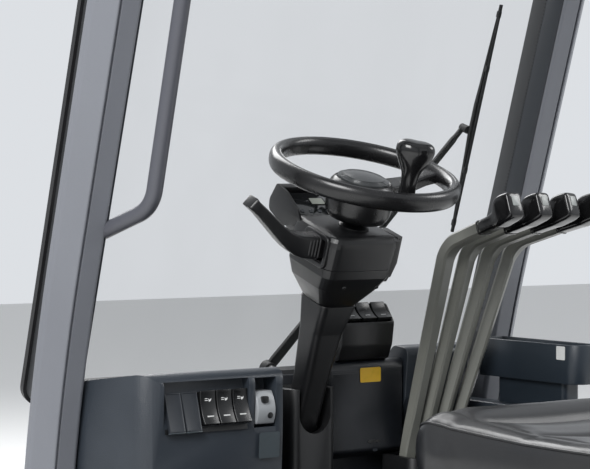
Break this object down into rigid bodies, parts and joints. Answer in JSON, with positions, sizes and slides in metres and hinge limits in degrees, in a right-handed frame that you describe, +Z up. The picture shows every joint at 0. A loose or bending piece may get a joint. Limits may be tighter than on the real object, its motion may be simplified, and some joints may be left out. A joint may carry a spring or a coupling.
{
  "type": "forklift operator's cab",
  "caption": "Open forklift operator's station: overhead guard, windscreen, tilting steering column, hydraulic levers, pedals and a sliding seat.",
  "frame": {"origin": "centre of the bounding box at the underside of the frame's two sills", "axes": "+Z up, +Y ahead of the driver, +X to the driver's right"},
  "size_m": [1.02, 1.4826, 1.655],
  "materials": {
    "frame_paint": "satin",
    "guard_paint": "satin",
    "deck_paint": "satin",
    "floor_rubber": "matte",
    "seal_rubber": "matte",
    "glass": "clear",
    "dash_plastic": "textured",
    "black_plastic": "satin",
    "gloss_black": "gloss",
    "screen": "gloss",
    "lever_paint": "satin",
    "steel": "brushed",
    "bright_metal": "satin",
    "seat_vinyl": "satin",
    "bellows": "matte",
    "wiper_metal": "satin"
  },
  "bodies": {
    "cab": {"side_sills": "frame_paint", "cross_members": "frame_paint", "floor_plate": "frame_paint", "floor_mat": "floor_rubber", "seat_deck": "deck_paint", "bulkhead": "frame_paint", "pillar_left": "guard_paint", "pillar_right": "guard_paint", "roof_side_rails": "guard_paint", "roof_cross_rails": "guard_paint", "roof_bars": "guard_paint", "rear_legs": "guard_paint", "windscreen": "glass", "windscreen_seal": "seal_rubber", "windscreen_frame": "frame_paint", "wiper_spindle": "black_plastic", "grab_handle": "guard_paint", "dash_left": "dash_plastic", "switch_blanks": "black_plastic", "rocker_switches": "gloss_black", "parking_switch": "bright_metal", "dash_right": "dash_plastic", "dash_centre": "dash_plastic", "cowl_cover": "dash_plastic", "switch_pod": "black_plastic", "column_base": "black_plastic", "lever_console": "black_plastic", "side_cover": "dash_plastic", "side_tray": "dash_plastic", "pedal_hinges": "steel", "seat_rails": "steel"},
    "column": {"column_neck": "black_plastic", "column_head": "black_plastic", "tilt_lock": "black_plastic", "display_hood": "black_plastic", "display_screen": "screen"},
    "steering": {"steering_wheel": "black_plastic", "hub_cap": "gloss_black"},
    "spinner": {"spinner_knob": "gloss_black"},
    "direction_lever": {"direction_lever": "black_plastic"},
    "accelerator": {"accelerator_pedal": "floor_rubber"},
    "brake": {"brake_pedal": "floor_rubber"},
    "seat": {"seat_suspension": "bellows", "seat_pan": "steel", "seat_cushion": "seat_vinyl", "recliner_brackets": "steel"},
    "seat_back": {"seat_back_shell": "black_plastic", "seat_back_cushion": "seat_vinyl"},
    "wiper": {"wiper_arm": "wiper_metal", "wiper_blade": "seal_rubber"},
    "lever_1": {"lever_bar_1": "lever_paint", "lever_knob_1": "gloss_black"},
    "lever_2": {"lever_bar_2": "lever_paint", "lever_knob_2": "gloss_black"},
    "lever_3": {"lever_bar_3": "lever_paint", "lever_knob_3": "gloss_black"},
    "lever_4": {"lever_bar_4": "lever_paint", "lever_knob_4": "gloss_black"}
  },
  "joints": [
    {"name": "column_tilt", "type": "hinge", "parent": "cab", "child": "column", "pos_m": [0, 0.58653, 0.45657], "axis": [1, 0, 0], "range_deg": [0, 8]},
    {"name": "steering_turn", "type": "hinge", "parent": "column", "child": "steering", "pos_m": [0, 0.4, 0.9], "axis": [0, -0.3256, 0.9455], "continuous": true},
    {"name": "spinner_turn", "type": "hinge", "parent": "steering", "child": "spinner", "pos_m": [0, 0.29032, 0.86223], "axis": [0, -0.3256, 0.9455], "continuous": true},
    {"name": "direction_select", "type": "hinge", "parent": "column", "child": "direction_lever", "pos_m": [-0.057, 0.43183, 0.78299], "axis": [0, -0.3256, 0.9455], "range_deg": [-12, 12]},
    {"name": "lever_1_tilt", "type": "hinge", "parent": "cab", "child": "lever_1", "pos_m": [0.212, 0.566, 0.33], "axis": [1, 0, 0], "range_deg": [-5, 5]},
    {"name": "lever_2_tilt", "type": "hinge", "parent": "cab", "child": "lever_2", "pos_m": [0.246, 0.566, 0.33], "axis": [1, 0, 0], "range_deg": [-5, 5]},
    {"name": "lever_3_tilt", "type": "hinge", "parent": "cab", "child": "lever_3", "pos_m": [0.28, 0.566, 0.33], "axis": [1, 0, 0], "range_deg": [-5, 5]},
    {"name": "lever_4_tilt", "type": "hinge", "parent": "cab", "child": "lever_4", "pos_m": [0.314, 0.566, 0.33], "axis": [1, 0, 0], "range_deg": [-5, 5]},
    {"name": "accelerator_press", "type": "hinge", "parent": "cab", "child": "accelerator", "pos_m": [0.127, 0.372, 0.134], "axis": [-1, 0, 0], "range_deg": [0, 16], "stiffness_Nm_per_rad": 6, "springref_deg": -20.05},
    {"name": "brake_press", "type": "hinge", "parent": "cab", "child": "brake", "pos_m": [-0.086, 0.6, 0.3], "axis": [1, 0, 0], "range_deg": [0, 13], "stiffness_Nm_per_rad": 12, "springref_deg": -17.19},
    {"name": "seat_slide", "type": "slide", "parent": "cab", "child": "seat", "axis": [0, 1, 0], "range_m": [-0.075, 0.075]},
    {"name": "seat_back_recline", "type": "hinge", "parent": "seat", "child": "seat_back", "pos_m": [0, -0.545, 0.47], "axis": [1, 0, 0], "range_deg": [-4, 12]},
    {"name": "wiper_sweep", "type": "hinge", "parent": "cab", "child": "wiper", "pos_m": [0.03, 0.6965, 0.5412], "axis": [0, -0.9516, -0.3074], "range_deg": [-3, 50]}
  ]
}
